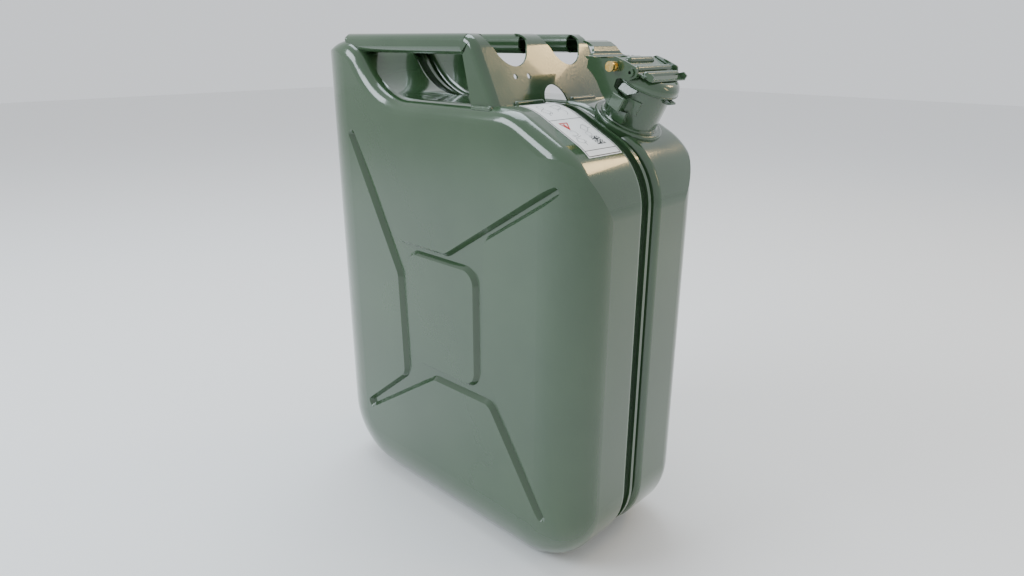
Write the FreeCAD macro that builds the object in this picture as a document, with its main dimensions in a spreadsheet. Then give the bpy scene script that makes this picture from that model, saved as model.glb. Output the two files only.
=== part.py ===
import FreeCAD, Part
import math
import os
import Sketcher
from FreeCAD import Placement, Rotation, Vector

# A 20 litre pressed-steel fuel can.  Millimetres, +Z up, +X towards the pouring neck,
# -Y towards the labelled half.  The origin is on the floor, below the middle of the tank.

doc = FreeCAD.newDocument("fuel_can")
sheet = doc.addObject("Spreadsheet::Sheet", "Sheet")

DIMENSIONS = {
    # tank
    "tank_length": 345.0,
    "tank_depth": 165.0,
    "tank_wall": 0.9,
    "foot_corner": 70.0,
    "face_edge": 14.0,
    "roll_width": 48.0,
    "roll_depth": 32.0,
    "flat_height": 408.5,
    "hump_height": 457.0,
    "hump_rear_radius": 42.0,
    "hump_front_radius": 36.0,
    "scoop_radius": 72.0,
    "scoop_angle": 52.0,
    "brow_radius": 60.0,
    "nose_radius": 62.0,
    "nose_height": 329.2,
    "slope_angle": 27.0,
    # sunk seam
    "seam_half_width": 8.5,
    "seam_depth": 6.0,
    "seam_edge": 6.5,
    "flange_height": 3.0,
    "weld_depth": 1.5,
    "weld_half_width": 1.8,
    # pressed X
    "press_depth": 4.5,
    "press_slope": 3.6,
    "panel_left": -40.0,
    "panel_right": 50.0,
    "panel_bottom": 159.0,
    "panel_top": 268.0,
    "panel_corner": 13.0,
    # handle
    "bar_width": 23.0,
    "bar_height": 16.5,
    "bar_top": 463.0,
    "bar_edge": 7.0,
    "bar_end": 36.0,
    "bar_start": -129.0,
    "bar_spacing": 63.5,
    "bar_slot": 7.0,
    "handle_sheet": 1.5,
    "handle_half_width": 75.0,
    "plate_rear": 30.3,
    "plate_bend": 20.0,
    "plate_lean": 27.0,
    "plate_top_run": 31.3,
    "finger_gap_middle": 34.6,
    "finger_gap_bottom": 437.3,
    "finger_gap_round_half": 19.0,
    "finger_gap_round_top": 450.0,
    "finger_gap_flare_half": 24.5,
    "finger_gap_flare_top": 458.0,
    "leg_rear_top": 34.8,
    "leg_rear_foot": 44.7,
    "foot_height": 405.5,
    "arch_radius": 14.5,
    "arch_top": 422.0,
    "plate_hole_radius": 2.2,
    "plate_hole_height": 429.5,
    "rear_bead_radius": 3.4,
    "front_bead_radius": 2.4,
    "side_bead_radius": 2.3,
    # neck, and the frame that the closure is built in
    "neck_x": 121.0,
    "neck_y": 35.0,
    "neck_z": 393.4,
    "neck_radius": 24.0,
    "neck_wall": 1.2,
    "neck_top": 41.4,
    "neck_root": -8.0,
    "rim_radius": 25.6,
    "rim_height": 2.6,
    "saddle_radius": 30.5,
    "saddle_top": 2.6,
    "vent_radius": 4.0,
    "vent_wall": 1.0,
    # cap
    "cap_radius": 27.5,
    "cap_wall": 1.2,
    "cap_bottom": 35.5,
    "cap_top": 46.0,
    "cap_shoulder": 7.5,
    "gasket_inner": 16.0,
    "gasket_outer": 24.8,
    "gasket_bottom": 41.8,
    "retainer_radius": 17.5,
    "rivet_radius": 2.5,
    # yoke
    "yoke_sheet": 1.5,
    "yoke_half_width": 26.5,
    "yoke_rear": -20.0,
    "yoke_front": 15.5,
    "rib_radius": 3.4,
    "hinge_u": -31.2,
    "hinge_w": 33.6,
    "hinge_pin_radius": 2.2,
    "hinge_head_radius": 3.4,
    "rivet_head_height": 1.2,
    "knuckle_radius": 4.0,
    "knuckle_half": 10.0,
    "running_gap": 0.05,
    "clear_gap": 0.3,
    # lever
    "pivot_u": 0.3,
    "pivot_w": 45.6,
    "pivot_radius": 2.0,
    "pivot_head_radius": 3.4,
    "pivot_eye_radius": 1.3,
    "cheek_inner": 28.3,
    "lever_sheet": 1.8,
    "strap_sheet": 1.6,
    "flap_gap": 0.9,
    "tail_half_width": 16.0,
    # lock pin
    "lock_u": -15.6,
    "lock_w": 42.4,
    "lock_radius": 2.2,
    "lock_head_radius": 4.0,
    "lock_head_height": 2.6,
    "lock_stroke": 3.5,
    "lock_bush_radius": 3.8,
    "lock_bush_height": 1.0,
    # label
    "label_length": 80.0,
    "label_width": 41.0,
    "label_thick": 0.3,
}

for row, (alias, number) in enumerate(DIMENSIONS.items(), start=1):
    sheet.set(f"A{row}", alias)
    sheet.set(f"B{row}", str(number))
    sheet.setAlias(f"B{row}", alias)
doc.recompute()


class Size:
    """A length or angle that carries its value and the sheet expression behind it."""

    def __init__(self, value, text):
        self.value = value
        self.text = text

    def joined(self, other, sign, value):
        other = as_size(other)
        return Size(value, f"({self.text} {sign} {other.text})")

    def __add__(self, other):
        return self.joined(other, "+", self.value + as_size(other).value)

    def __sub__(self, other):
        return self.joined(other, "-", self.value - as_size(other).value)

    def __mul__(self, other):
        return self.joined(other, "*", self.value * as_size(other).value)

    def __neg__(self):
        return Size(-self.value, f"(0 - {self.text})")


def as_size(number):
    return number if isinstance(number, Size) else Size(float(number), repr(float(number)))


def dim(alias):
    return Size(float(sheet.get(alias)), f"Sheet.{alias}")


def mm(alias):
    return float(sheet.get(alias))


def bind(item, path, size):
    item.setExpression(path, as_size(size).text)


def bind_base(item, place):
    for axis, size in zip("xyz", place):
        bind(item, f"Placement.Base.{axis}", size)


# ---- document helpers -------------------------------------------------------------

ALONG_Y = Rotation(Vector(1, 0, 0), -90)
SIDE_VIEW = Rotation(Vector(1, 0, 0), 90)


def box(name, low, size):
    item = doc.addObject("Part::Box", name)
    for side, length in zip(("Length", "Width", "Height"), size):
        bind(item, side, length)
    bind_base(item, low)
    return item


def cylinder(name, start, radius, height, turn=None):
    item = doc.addObject("Part::Cylinder", name)
    bind(item, "Radius", radius)
    bind(item, "Height", height)
    if turn is not None:
        item.Placement = Placement(Vector(), turn)
    bind_base(item, start)
    return item


def cut(name, base, tool):
    item = doc.addObject("Part::Cut", name)
    item.Base = base
    item.Tool = tool
    return item


def fuse(name, parts):
    item = doc.addObject("Part::MultiFuse", name)
    item.Shapes = parts
    return item


def closed_sketch(sketch, corners):
    """Straight-sided closed outline whose every corner is bound to the sheet."""
    count = len(corners)
    points = [Vector(as_size(a).value, as_size(b).value, 0) for a, b in corners]
    for index in range(count):
        sketch.addGeometry(Part.LineSegment(points[index], points[(index + 1) % count]), False)
    for index in range(count):
        sketch.addConstraint(Sketcher.Constraint("Coincident", index, 2, (index + 1) % count, 1))
    for index, corner in enumerate(corners):
        for kind, size in zip(("DistanceX", "DistanceY"), corner):
            size = as_size(size)
            if abs(size.value) < 1e-9:
                on_axis = -2 if kind == "DistanceX" else -1
                sketch.addConstraint(Sketcher.Constraint("PointOnObject", index, 1, on_axis))
                continue
            number = sketch.addConstraint(
                Sketcher.Constraint(kind, -1, 1, index, 1, size.value))
            sketch.setExpression(f"Constraints[{number}]", size.text)


def turned_body(name, corners):
    """A body of revolution about the local Z axis; corners are (radius, height)."""
    body = doc.addObject("PartDesign::Body", name)
    sketch = body.newObject("Sketcher::SketchObject", name + "_profile")
    plane = [item for item in body.Origin.OriginFeatures if item.Role == "XZ_Plane"][0]
    sketch.AttachmentSupport = [(plane, "")]
    sketch.MapMode = "FlatFace"
    closed_sketch(sketch, corners)
    turn = body.newObject("PartDesign::Revolution", name + "_turn")
    turn.Profile = sketch
    turn.ReferenceAxis = (sketch, ["V_Axis"])
    turn.Angle = 360.0
    sketch.Visibility = False
    return body


def side_plate(name, corners, near, thickness):
    """A flat plate seen from the side; corners are (x, z), it runs from near along +Y."""
    sketch = doc.addObject("Sketcher::SketchObject", name + "_outline")
    sketch.Placement = Placement(Vector(), SIDE_VIEW)
    bind(sketch, "Placement.Base.y", near)
    closed_sketch(sketch, corners)
    plate = doc.addObject("Part::Extrusion", name)
    plate.Base = sketch
    plate.DirMode = "Custom"
    plate.Dir = Vector(0, 1, 0)
    plate.Solid = True
    bind(plate, "LengthFwd", thickness)
    return plate


def rounded(name, base, radius, keep):
    """Round the edges of base for which keep(edge) is true."""
    doc.recompute()
    item = doc.addObject("Part::Fillet", name)
    item.Base = base
    chosen = [index for index, edge in enumerate(base.Shape.Edges, start=1) if keep(edge)]
    item.Edges = [(index, radius, radius) for index in chosen]
    return item


def along_y(edge):
    ends = edge.Vertexes
    if len(ends) != 2 or not isinstance(edge.Curve, Part.Line):
        return False
    span = ends[1].Point - ends[0].Point
    return abs(span.y) > 0.5 and math.hypot(span.x, span.z) < 1e-6


PARTS = []


def keep_part(item, label):
    item.Label = label
    PARTS.append(item)
    return item


def on_neck(item, label):
    """Stand a closure piece, modelled upright at the origin, on the sloping shoulder."""
    item.Placement = Placement(Vector(), Rotation(Vector(0, 1, 0), mm("slope_angle")))
    bind_base(item, (dim("neck_x"), dim("neck_y"), dim("neck_z")))
    bind(item, "Placement.Rotation.Angle", dim("slope_angle"))
    return keep_part(item, label)


# ---- tank halves ------------------------------------------------------------------

def side_point(x, z):
    return Vector(x, 0, z)


def arc(centre, radius, start, end):
    """Edge of an arc in the side view, from one angle to another (degrees, 0 = +X)."""
    middle = (start + end) / 2
    points = [side_point(centre[0] + radius * math.cos(math.radians(turn)),
                         centre[1] + radius * math.sin(math.radians(turn)))
              for turn in (start, middle, end)]
    return Part.Arc(*points).toShape()


def tank_outline():
    """Side view of the tank: rounded foot, flat top, sloping shoulder and rear hump."""
    half = mm("tank_length") / 2
    foot = mm("foot_corner")
    flat = mm("flat_height")
    slope = math.radians(mm("slope_angle"))
    nose = mm("nose_radius")
    nose_centre = (half - nose, mm("nose_height"))
    rear = mm("hump_rear_radius")
    front = mm("hump_front_radius")
    hump_x = rear - half
    hump_front_centre = (hump_x, mm("hump_height") - front)
    hump_rear_centre = (hump_x, mm("hump_height") - rear)
    scoop = math.radians(mm("scoop_angle"))
    scoop_radius = mm("scoop_radius")
    slope_end = side_point(nose_centre[0] + nose * math.sin(slope),
                           nose_centre[1] + nose * math.cos(slope))
    corner_x = slope_end.x - (flat - slope_end.z) / math.tan(slope)
    brow = mm("brow_radius")
    brow_run = brow * math.tan(slope / 2)
    brow_x = corner_x - brow_run
    hump_end = side_point(hump_front_centre[0] + front * math.sin(scoop),
                          hump_front_centre[1] + front * math.cos(scoop))
    scoop_z = flat + scoop_radius * (1 - math.cos(scoop))
    scoop_x = hump_end.x + (hump_end.z - scoop_z) / math.tan(scoop)
    scoop_foot = scoop_x + scoop_radius * math.sin(scoop)
    slope_deg = mm("slope_angle")
    scoop_deg = mm("scoop_angle")
    brow_edge = arc((brow_x, flat - brow), brow, 90 - slope_deg, 90)
    edges = [
        Part.LineSegment(side_point(foot - half, 0), side_point(half - foot, 0)).toShape(),
        arc((half - foot, foot), foot, -90, 0),
        Part.LineSegment(side_point(half, foot), side_point(half, nose_centre[1])).toShape(),
        arc(nose_centre, nose, 0, 90 - slope_deg),
        Part.LineSegment(slope_end, brow_edge.Vertexes[0].Point).toShape(),
        brow_edge,
        Part.LineSegment(side_point(brow_x, flat), side_point(scoop_foot, flat)).toShape(),
        arc((scoop_foot, flat + scoop_radius), scoop_radius, 270, 270 - scoop_deg),
        Part.LineSegment(side_point(scoop_x, scoop_z), hump_end).toShape(),
        arc(hump_front_centre, front, 90 - scoop_deg, 90),
        arc(hump_rear_centre, rear, 90, 180),
        Part.LineSegment(side_point(-half, hump_rear_centre[1]), side_point(-half, foot)).toShape(),
        arc((foot - half, foot), foot, 180, 270),
    ]
    return Part.Wire(Part.__sortEdges__(edges))


def slab(outline, inset, near, far):
    """The side view, shrunk by inset, between two values of -Y (near to the seam, far out)."""
    wire = outline.makeOffset2D(-inset) if inset else outline.copy()
    face = Part.Face(wire)
    face.translate(Vector(0, -near, 0))
    return face.extrude(Vector(0, near - far, 0))


def edges_at(shape, y):
    return [edge for edge in shape.Edges
            if abs(edge.BoundBox.YMin - y) < 1e-4 and abs(edge.BoundBox.YMax - y) < 1e-4]


def rounded_wire(corners, radii):
    """Closed wire in the side view through corners, each rounded by its own radius."""
    count = len(corners)
    starts = []
    ends = []
    arcs = []
    for index, corner in enumerate(corners):
        here = side_point(*corner)
        back = side_point(*corners[index - 1]) - here
        ahead = side_point(*corners[(index + 1) % count]) - here
        back.normalize()
        ahead.normalize()
        half_turn = back.getAngle(ahead) / 2
        run = radii[index] / math.tan(half_turn)
        middle = back + ahead
        middle.normalize()
        centre = here + middle * (radii[index] / math.sin(half_turn))
        starts.append(here + back * run)
        ends.append(here + ahead * run)
        arcs.append(Part.Arc(starts[-1], centre - middle * radii[index], ends[-1]).toShape())
    edges = []
    for index in range(count):
        edges.append(arcs[index])
        edges.append(Part.LineSegment(ends[index], starts[(index + 1) % count]).toShape())
    return Part.Wire(edges)


def inset_corners(corners, distance):
    """Corners of the anticlockwise outline moved inwards by distance."""
    moved = []
    count = len(corners)
    for index in range(count):
        here = Vector(*corners[index], 0)
        back = here - Vector(*corners[index - 1], 0)
        ahead = Vector(*corners[(index + 1) % count], 0) - here
        back.normalize()
        ahead.normalize()
        back_normal = Vector(-back.y, back.x, 0)
        ahead_normal = Vector(-ahead.y, ahead.x, 0)
        step = (back_normal + ahead_normal) * (distance / (1 + back_normal.dot(ahead_normal)))
        moved.append((here.x + step.x, here.y + step.y))
    return moved


def turns_left(corners, index):
    here = Vector(*corners[index], 0)
    back = here - Vector(*corners[index - 1], 0)
    ahead = Vector(*corners[(index + 1) % len(corners)], 0) - here
    return back.cross(ahead).z > 0


def sloped_plug(corners, radii, run, top_y, floor_y):
    """Solid between an outline at top_y and the same outline moved inwards at floor_y."""
    low_corners = inset_corners(corners, run)
    low_radii = [radius - run if turns_left(corners, index) else radius + run
                 for index, radius in enumerate(radii)]
    top = rounded_wire(corners, radii)
    floor = rounded_wire(low_corners, low_radii)
    top.translate(Vector(0, top_y, 0))
    floor.translate(Vector(0, floor_y, 0))
    lid = Part.Face(top).extrude(Vector(0, -2.0, 0))
    return Part.makeLoft([top, floor], True, True).fuse(lid)


def pressed_recess():
    """The sunk X with its raised middle panel, as the solid that is pushed into a face."""
    face = -mm("tank_depth") / 2
    depth = mm("press_depth")
    slope = mm("press_slope")
    # Corners of the X, anticlockwise from the left side of its upper left arm.
    corners = [(-124.5, 372), (-56, 243), (-53, 138), (-121, 84), (-116, 74.5),
               (-7, 146), (68, 147), (131, 54), (140.5, 57), (61, 184), (64, 298),
               (147, 349), (142.5, 358.5), (14, 278), (-56, 279), (-116, 377)]
    inner = 12.0
    tip = 4.2
    radii = [tip, inner, inner, tip, tip, inner, inner, tip, tip, inner, inner, tip, tip,
             inner, inner, tip]
    sunk = sloped_plug(corners, radii, slope, face, face + depth)
    left = mm("panel_left")
    right = mm("panel_right")
    low = mm("panel_bottom")
    high = mm("panel_top")
    panel = sloped_plug([(left, low), (right, low), (right, high), (left, high)],
                        [mm("panel_corner")] * 4, -slope, face, face + depth)
    return sunk.cut(panel)


def rolled_sides(wall):
    """Room inside the broad roll along the feet and sides of a face, open at the top."""
    length = mm("tank_length") / 2 - wall
    depth = mm("tank_depth") / 2 - wall
    foot = mm("foot_corner") - wall
    width = mm("roll_width") - wall
    squeeze = (mm("roll_depth") - wall) / width
    high = 560.0
    edges = [
        arc((foot - length, foot + wall), foot, 180, 270),
        Part.LineSegment(side_point(foot - length, wall), side_point(length - foot, wall)).toShape(),
        arc((length - foot, foot + wall), foot, -90, 0),
        Part.LineSegment(side_point(length, foot + wall), side_point(length, high)).toShape(),
        Part.LineSegment(side_point(length, high), side_point(-length, high)).toShape(),
        Part.LineSegment(side_point(-length, high), side_point(-length, foot + wall)).toShape(),
    ]
    face = Part.Face(Part.Wire(Part.__sortEdges__(edges)))
    face.translate(Vector(0, 10, 0))
    room = face.extrude(Vector(0, -10 - depth / squeeze, 0))
    rim = [edge for edge in edges_at(room, -depth / squeeze) if edge.BoundBox.ZMin < high - 1]
    room = room.makeFillet(width, rim)
    flatten = FreeCAD.Matrix()
    flatten.scale(1.0, squeeze, 1.0)
    return room.transformGeometry(flatten)


def half_block(outline, recess, wall):
    """Solid half tank (-Y side) shrunk by wall, with its sunk seam and pressed face."""
    depth = mm("tank_depth") / 2
    seam = mm("seam_half_width")
    sunk = mm("seam_depth")
    body = slab(outline, wall, seam + wall, depth - wall)
    body = body.makeFillet(mm("face_edge") - wall, edges_at(body, wall - depth))
    body = body.makeFillet(mm("seam_edge") - wall / 2, edges_at(body, -seam - wall))
    body = body.common(rolled_sides(wall))
    neck = slab(outline, sunk + wall, 0, seam + wall + 4)
    tool = recess.copy()
    tool.translate(Vector(0, wall, 0))
    return body.fuse(neck).cut(tool)


outline = tank_outline()
recess = pressed_recess()
outer_block = half_block(outline, recess, 0.0)
inner_block = half_block(outline, recess, mm("tank_wall"))
weld_inset = mm("weld_depth") + mm("flange_height") / 2
flange_sheet = mm("tank_wall")
flange = slab(outline, weld_inset, 0, flange_sheet).cut(
    slab(outline, mm("seam_depth") + mm("tank_wall"), 0, flange_sheet))
half = outer_block.cut(inner_block).fuse(flange)

near_half = doc.addObject("Part::Feature", "RightHalf")
near_half.Shape = half
keep_part(near_half, "right_half_shell")

mirrored = doc.addObject("Part::Mirroring", "LeftHalfBlank")
mirrored.Source = near_half
mirrored.Normal = Vector(0, 1, 0)
mirrored.Base = Vector(0, 0, 0)
neck_bore = cylinder("NeckBore", (0, 0, 0), dim("neck_radius") + dim("running_gap"), 60)
neck_bore.Placement = Placement(Vector(), Rotation(Vector(0, 1, 0), mm("slope_angle")))
slope = math.radians(mm("slope_angle"))
bore_start = 30.0
bind_base(neck_bore, (dim("neck_x") - bore_start * math.sin(slope), dim("neck_y"),
                      dim("neck_z") - bore_start * math.cos(slope)))
bind(neck_bore, "Placement.Rotation.Angle", dim("slope_angle"))
keep_part(cut("LeftHalf", mirrored, neck_bore), "left_half_shell")

weld_half = mm("weld_half_width")
bead = slab(outline, mm("weld_depth"), -weld_half, weld_half).cut(
    slab(outline, weld_inset, -weld_half, weld_half))
seam_weld = doc.addObject("Part::Feature", "SeamWeld")
seam_weld.Shape = bead
keep_part(seam_weld, "seam_weld")

# ---- handle -----------------------------------------------------------------------

far_block = outer_block.mirror(Vector(0, 0, 0), Vector(0, 1, 0))
tank_solid = outer_block.fuse(far_block)
SIDES = (-1, 1)
BAR_STATIONS = (-mm("bar_spacing"), 0.0, mm("bar_spacing"))
HOLE_STATIONS = (-40.0, -24.0)


def solid_box(low, high):
    size = [b - a for a, b in zip(low, high)]
    return Part.makeBox(*size, Vector(*low))


def edges_along(shape, axis):
    return [edge for edge in shape.Edges if isinstance(edge.Curve, Part.Line)
            and abs(edge.tangentAt(edge.FirstParameter).dot(axis)) > 0.999]


def largest(shape):
    return max(shape.Solids, key=lambda solid: solid.Volume)


def across(edges, half_width):
    """A side-view outline made solid from -half_width to half_width."""
    face = Part.Face(Part.Wire(edges))
    face.translate(Vector(0, -half_width, 0))
    return face.extrude(Vector(0, 2 * half_width, 0))


def outline_edges(points):
    return [Part.LineSegment(a, b).toShape() for a, b in zip(points, points[1:])]


def front_curve(inset, foot_z):
    """Crest, middle and end of the bend, and the foot, of the front plate's side view."""
    radius = mm("plate_bend") - inset
    run = mm("plate_top_run")
    centre_z = mm("bar_top") - mm("plate_bend")
    lean = math.radians(mm("plate_lean"))
    turn = math.pi / 2 - lean
    crest = side_point(run, centre_z + radius)
    middle = side_point(run + radius * math.sin(turn / 2), centre_z + radius * math.cos(turn / 2))
    bend_end = side_point(run + radius * math.sin(turn), centre_z + radius * math.cos(turn))
    foot = side_point(bend_end.x + (bend_end.z - foot_z) * math.tan(lean), foot_z)
    return crest, middle, bend_end, foot


def behind_plate(inset, foot_z, back, half_width, edge_radius):
    """Solid behind the front plate; back lists its rear corners, from the foot upwards."""
    crest, middle, bend_end, foot = front_curve(inset, foot_z)
    start = side_point(back[-1][0], crest.z)
    edges = outline_edges([start, crest])
    edges.append(Part.Arc(crest, middle, bend_end).toShape())
    edges += outline_edges([bend_end, foot] + [side_point(*corner) for corner in back] + [start])
    solid = across(edges, half_width)
    front_edges = [edge for edge in solid.Edges if edge.BoundBox.YLength < 1e-6
                   and (edge.BoundBox.ZMin > crest.z - 1e-6 or isinstance(edge.Curve, Part.Circle)
                        or edge.BoundBox.XMin > bend_end.x - 1e-6)]
    return solid.makeFillet(edge_radius, front_edges) if edge_radius else solid


def rolled_bar(y):
    """One finger of the handle: a flat-topped roll, open along its underside."""
    wall = mm("handle_sheet")
    half_width = mm("bar_width") / 2
    top = mm("bar_top")
    low = top - mm("bar_height")
    start = mm("bar_start")
    end = mm("bar_end")
    outside = solid_box((start, y - half_width, low), (end, y + half_width, top))
    outside = outside.makeFillet(mm("bar_edge"), edges_along(outside, Vector(1, 0, 0)))
    inside = solid_box((start - 1, y - half_width + wall, low + wall),
                       (end + 1, y + half_width - wall, top - wall))
    inside = inside.makeFillet(mm("bar_edge") - wall, edges_along(inside, Vector(1, 0, 0)))
    slot = solid_box((start - 1, y - mm("bar_slot") / 2, low - 1),
                     (end + 1, y + mm("bar_slot") / 2, low + 2 * wall))
    return outside.cut(inside).cut(slot)


def finger_gap(side):
    """Round-bottomed gap, flared where it meets the rolled bars."""
    middle = side * mm("finger_gap_middle")
    round_half = mm("finger_gap_round_half")
    flare_half = mm("finger_gap_flare_half")
    round_top = mm("finger_gap_round_top")
    flare_top = mm("finger_gap_flare_top")
    above = mm("bar_top") + 20

    def at(offset, z):
        return Vector(0, middle + offset, z)

    edges = [Part.Arc(at(-round_half, round_top), at(0, mm("finger_gap_bottom")),
                      at(round_half, round_top)).toShape()]
    edges += outline_edges([at(round_half, round_top), at(flare_half, flare_top), at(flare_half, above),
                            at(-flare_half, above), at(-flare_half, flare_top),
                            at(-round_half, round_top)])
    face = Part.Face(Part.Wire(Part.__sortEdges__(edges)))
    return face.extrude(Vector(150, 0, 0))


def mitre_slit(side):
    """The narrow gap where the bar's rolled side meets the leg."""
    corners = [side_point(42.0, 456.8), side_point(33.6, 448.9),
               side_point(34.4, 446.0), side_point(37.4, 449.4)]
    face = Part.Face(Part.makePolygon(corners + corners[:1]))
    face.translate(Vector(0, side * (mm("handle_half_width") - 4), 0))
    return face.extrude(Vector(0, side * 8, 0))


def handle_plate():
    """Front plate with rolled sides; finger gaps, seam arch and two small holes are cut out."""
    wall = mm("handle_sheet")
    half_width = mm("handle_half_width")
    foot_z = mm("foot_height")
    edge = mm("bar_edge")
    rear = mm("plate_rear")
    bar_low = mm("bar_top") - mm("bar_height")
    leg_back = [(mm("leg_rear_foot"), foot_z), (mm("leg_rear_top"), bar_low + 0.5),
                (rear, bar_low + edge + 1.5)]
    open_back = [(rear - 5, foot_z - 5)]
    outside = behind_plate(0, foot_z, leg_back, half_width, edge)
    inside = behind_plate(wall, foot_z - 5, open_back, half_width - wall, edge - wall)
    plate = outside.cut(inside)
    arch = mm("arch_radius")
    arch_centre = mm("arch_top") - arch
    tunnel = Part.makeCylinder(arch, 90, side_point(20, arch_centre), Vector(1, 0, 0))
    tools = [finger_gap(side) for side in SIDES]
    tools += [tunnel, solid_box((20, -arch, foot_z - 5), (110, arch, arch_centre))]
    tools += [Part.makeCylinder(mm("plate_hole_radius"), 60, Vector(30, y, mm("plate_hole_height")),
                                Vector(1, 0, 0)) for y in HOLE_STATIONS]
    return plate.cut(tools)


cover = behind_plate(0, mm("foot_height"), [(mm("bar_start") - 1, mm("foot_height"))],
                     mm("handle_half_width") + 1, 0)
bars = [rolled_bar(y).common(cover) for y in BAR_STATIONS]
pressing = handle_plate().fuse(bars).cut([mitre_slit(side) for side in SIDES])
pressing = largest(pressing.cut(tank_solid).removeSplitter())
handle = doc.addObject("Part::Feature", "Handle")
handle.Shape = pressing
keep_part(handle, "handle_pressing")


def weld_bead(start, length, direction, radius):
    """Round of weld metal filling the corner between the handle and the tank."""
    run = Part.makeCylinder(radius, length, start, direction)
    ends = [Part.makeSphere(radius, start), Part.makeSphere(radius, start + direction * length)]
    return largest(run.fuse(ends).cut(tank_solid).cut(pressing).cut(bead))


rear_welds = doc.addObject("Part::Feature", "RearWelds")
bead_length = mm("bar_width") - 2 * mm("rear_bead_radius")
rear_welds.Shape = Part.makeCompound([
    weld_bead(Vector(mm("bar_start"), y - bead_length / 2, mm("hump_height") + 0.6), bead_length,
              Vector(0, 1, 0), mm("rear_bead_radius")) for y in BAR_STATIONS])
keep_part(rear_welds, "handle_rear_welds")

foot_slice = solid_box((55, -60, mm("flat_height")), (90, -40, mm("flat_height") + 1.5))
plate_foot_x = pressing.common(foot_slice).BoundBox.XMax
front_beads = []
for side in SIDES:
    near_y, far_y = sorted((side * 20.0, side * 50.0))
    front_beads.append(weld_bead(Vector(plate_foot_x, near_y, mm("flat_height") + 0.4), far_y - near_y,
                                 Vector(0, 1, 0), mm("front_bead_radius")))
    leg_foot_y = side * (mm("handle_half_width") + 0.9)
    front_beads.append(weld_bead(Vector(mm("leg_rear_foot") + 3.5, leg_foot_y, mm("flat_height") - 2.2),
                                 19.0, Vector(1, 0, 0), mm("side_bead_radius")))
front_welds = doc.addObject("Part::Feature", "FrontWelds")
front_welds.Shape = Part.makeCompound(front_beads)
keep_part(front_welds, "handle_front_welds")

# ---- neck -------------------------------------------------------------------------

neck_r = dim("neck_radius")
neck_in = neck_r - dim("neck_wall")
neck_top = dim("neck_top")
rim_low = neck_top - dim("rim_height")
on_neck(turned_body("NeckTube", [
    (neck_in, dim("neck_root")), (neck_r, dim("neck_root")), (neck_r, rim_low - 1.2),
    (dim("rim_radius"), rim_low), (dim("rim_radius"), neck_top - 0.7),
    (dim("rim_radius") - 0.7, neck_top), (neck_in + 0.7, neck_top), (neck_in, neck_top - 0.7),
]), "neck_tube")

neck_frame = Placement(Vector(mm("neck_x"), mm("neck_y"), mm("neck_z")),
                       Rotation(Vector(0, 1, 0), mm("slope_angle")))


def neck_shape(shape):
    """A shape modelled upright at the origin, moved onto the shoulder."""
    moved = shape.copy()
    moved.Placement = neck_frame.multiply(moved.Placement)
    return moved


saddle_r = mm("saddle_radius")
saddle_top = mm("saddle_top")
pad = Part.makeCylinder(saddle_r, saddle_top + 5, Vector(0, 0, -5))
pad = pad.makeFillet(2.0, [edge for edge in pad.Edges if abs(edge.BoundBox.ZMin - saddle_top) < 1e-6
                           and abs(edge.BoundBox.ZMax - saddle_top) < 1e-6])
pad = pad.cut(Part.makeCylinder(mm("neck_radius"), 40, Vector(0, 0, -20)))
saddle_solid = neck_shape(pad).cut(tank_solid)
saddle = doc.addObject("Part::Feature", "Saddle")
saddle.Shape = max(saddle_solid.Solids, key=lambda solid: solid.Volume)
keep_part(saddle, "neck_saddle")

on_neck(turned_body("NeckWeld", [
    (neck_r, dim("saddle_top")), (neck_r + 1.9, dim("saddle_top")),
    (neck_r + 1.5, dim("saddle_top") + 0.9), (neck_r, dim("saddle_top") + 1.8),
]), "neck_weld")


def vent_pipe():
    """Breather from the mouth, down inside the neck, then back and up into the hump."""
    outer = mm("vent_radius")
    u = -(mm("neck_radius") - mm("neck_wall") - outer)
    start = neck_frame.multVec(Vector(u, 0, 33))
    turn_down = neck_frame.multVec(Vector(u, 0, -22))
    corners = [start, turn_down, Vector(20, 12, 378), Vector(-95, 12, 412)]
    bends = [14.0, 60.0]
    edges = []
    here = corners[0]
    for index, radius in enumerate(bends, start=1):
        corner = corners[index]
        back = corners[index - 1] - corner
        ahead = corners[index + 1] - corner
        back.normalize()
        ahead.normalize()
        half_turn = back.getAngle(ahead) / 2
        run = radius / math.tan(half_turn)
        middle = back + ahead
        middle.normalize()
        centre = corner + middle * (radius / math.sin(half_turn))
        edges.append(Part.LineSegment(here, corner + back * run).toShape())
        edges.append(Part.Arc(corner + back * run, centre - middle * radius,
                              corner + ahead * run).toShape())
        here = corner + ahead * run
    edges.append(Part.LineSegment(here, corners[-1]).toShape())
    spine = Part.Wire(edges)
    heading = corners[1] - corners[0]
    solids = []
    for radius in (outer, outer - mm("vent_wall")):
        ring = Part.Wire(Part.makeCircle(radius, corners[0], heading))
        solids.append(spine.makePipeShell([ring], True, False))
    return solids[0].cut(solids[1])


vent = doc.addObject("Part::Feature", "VentTube")
vent.Shape = vent_pipe()
keep_part(vent, "vent_tube")

# ---- closure: fixed pieces on the neck --------------------------------------------

pin_r = dim("hinge_pin_radius")
hinge_u = dim("hinge_u")
hinge_w = dim("hinge_w")
knuckle_half = dim("knuckle_half")
ear_near = knuckle_half + dim("clear_gap")
ear_thick = 2.0
web_width = ear_near * 2 + 2.0
through = 60.0

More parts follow.
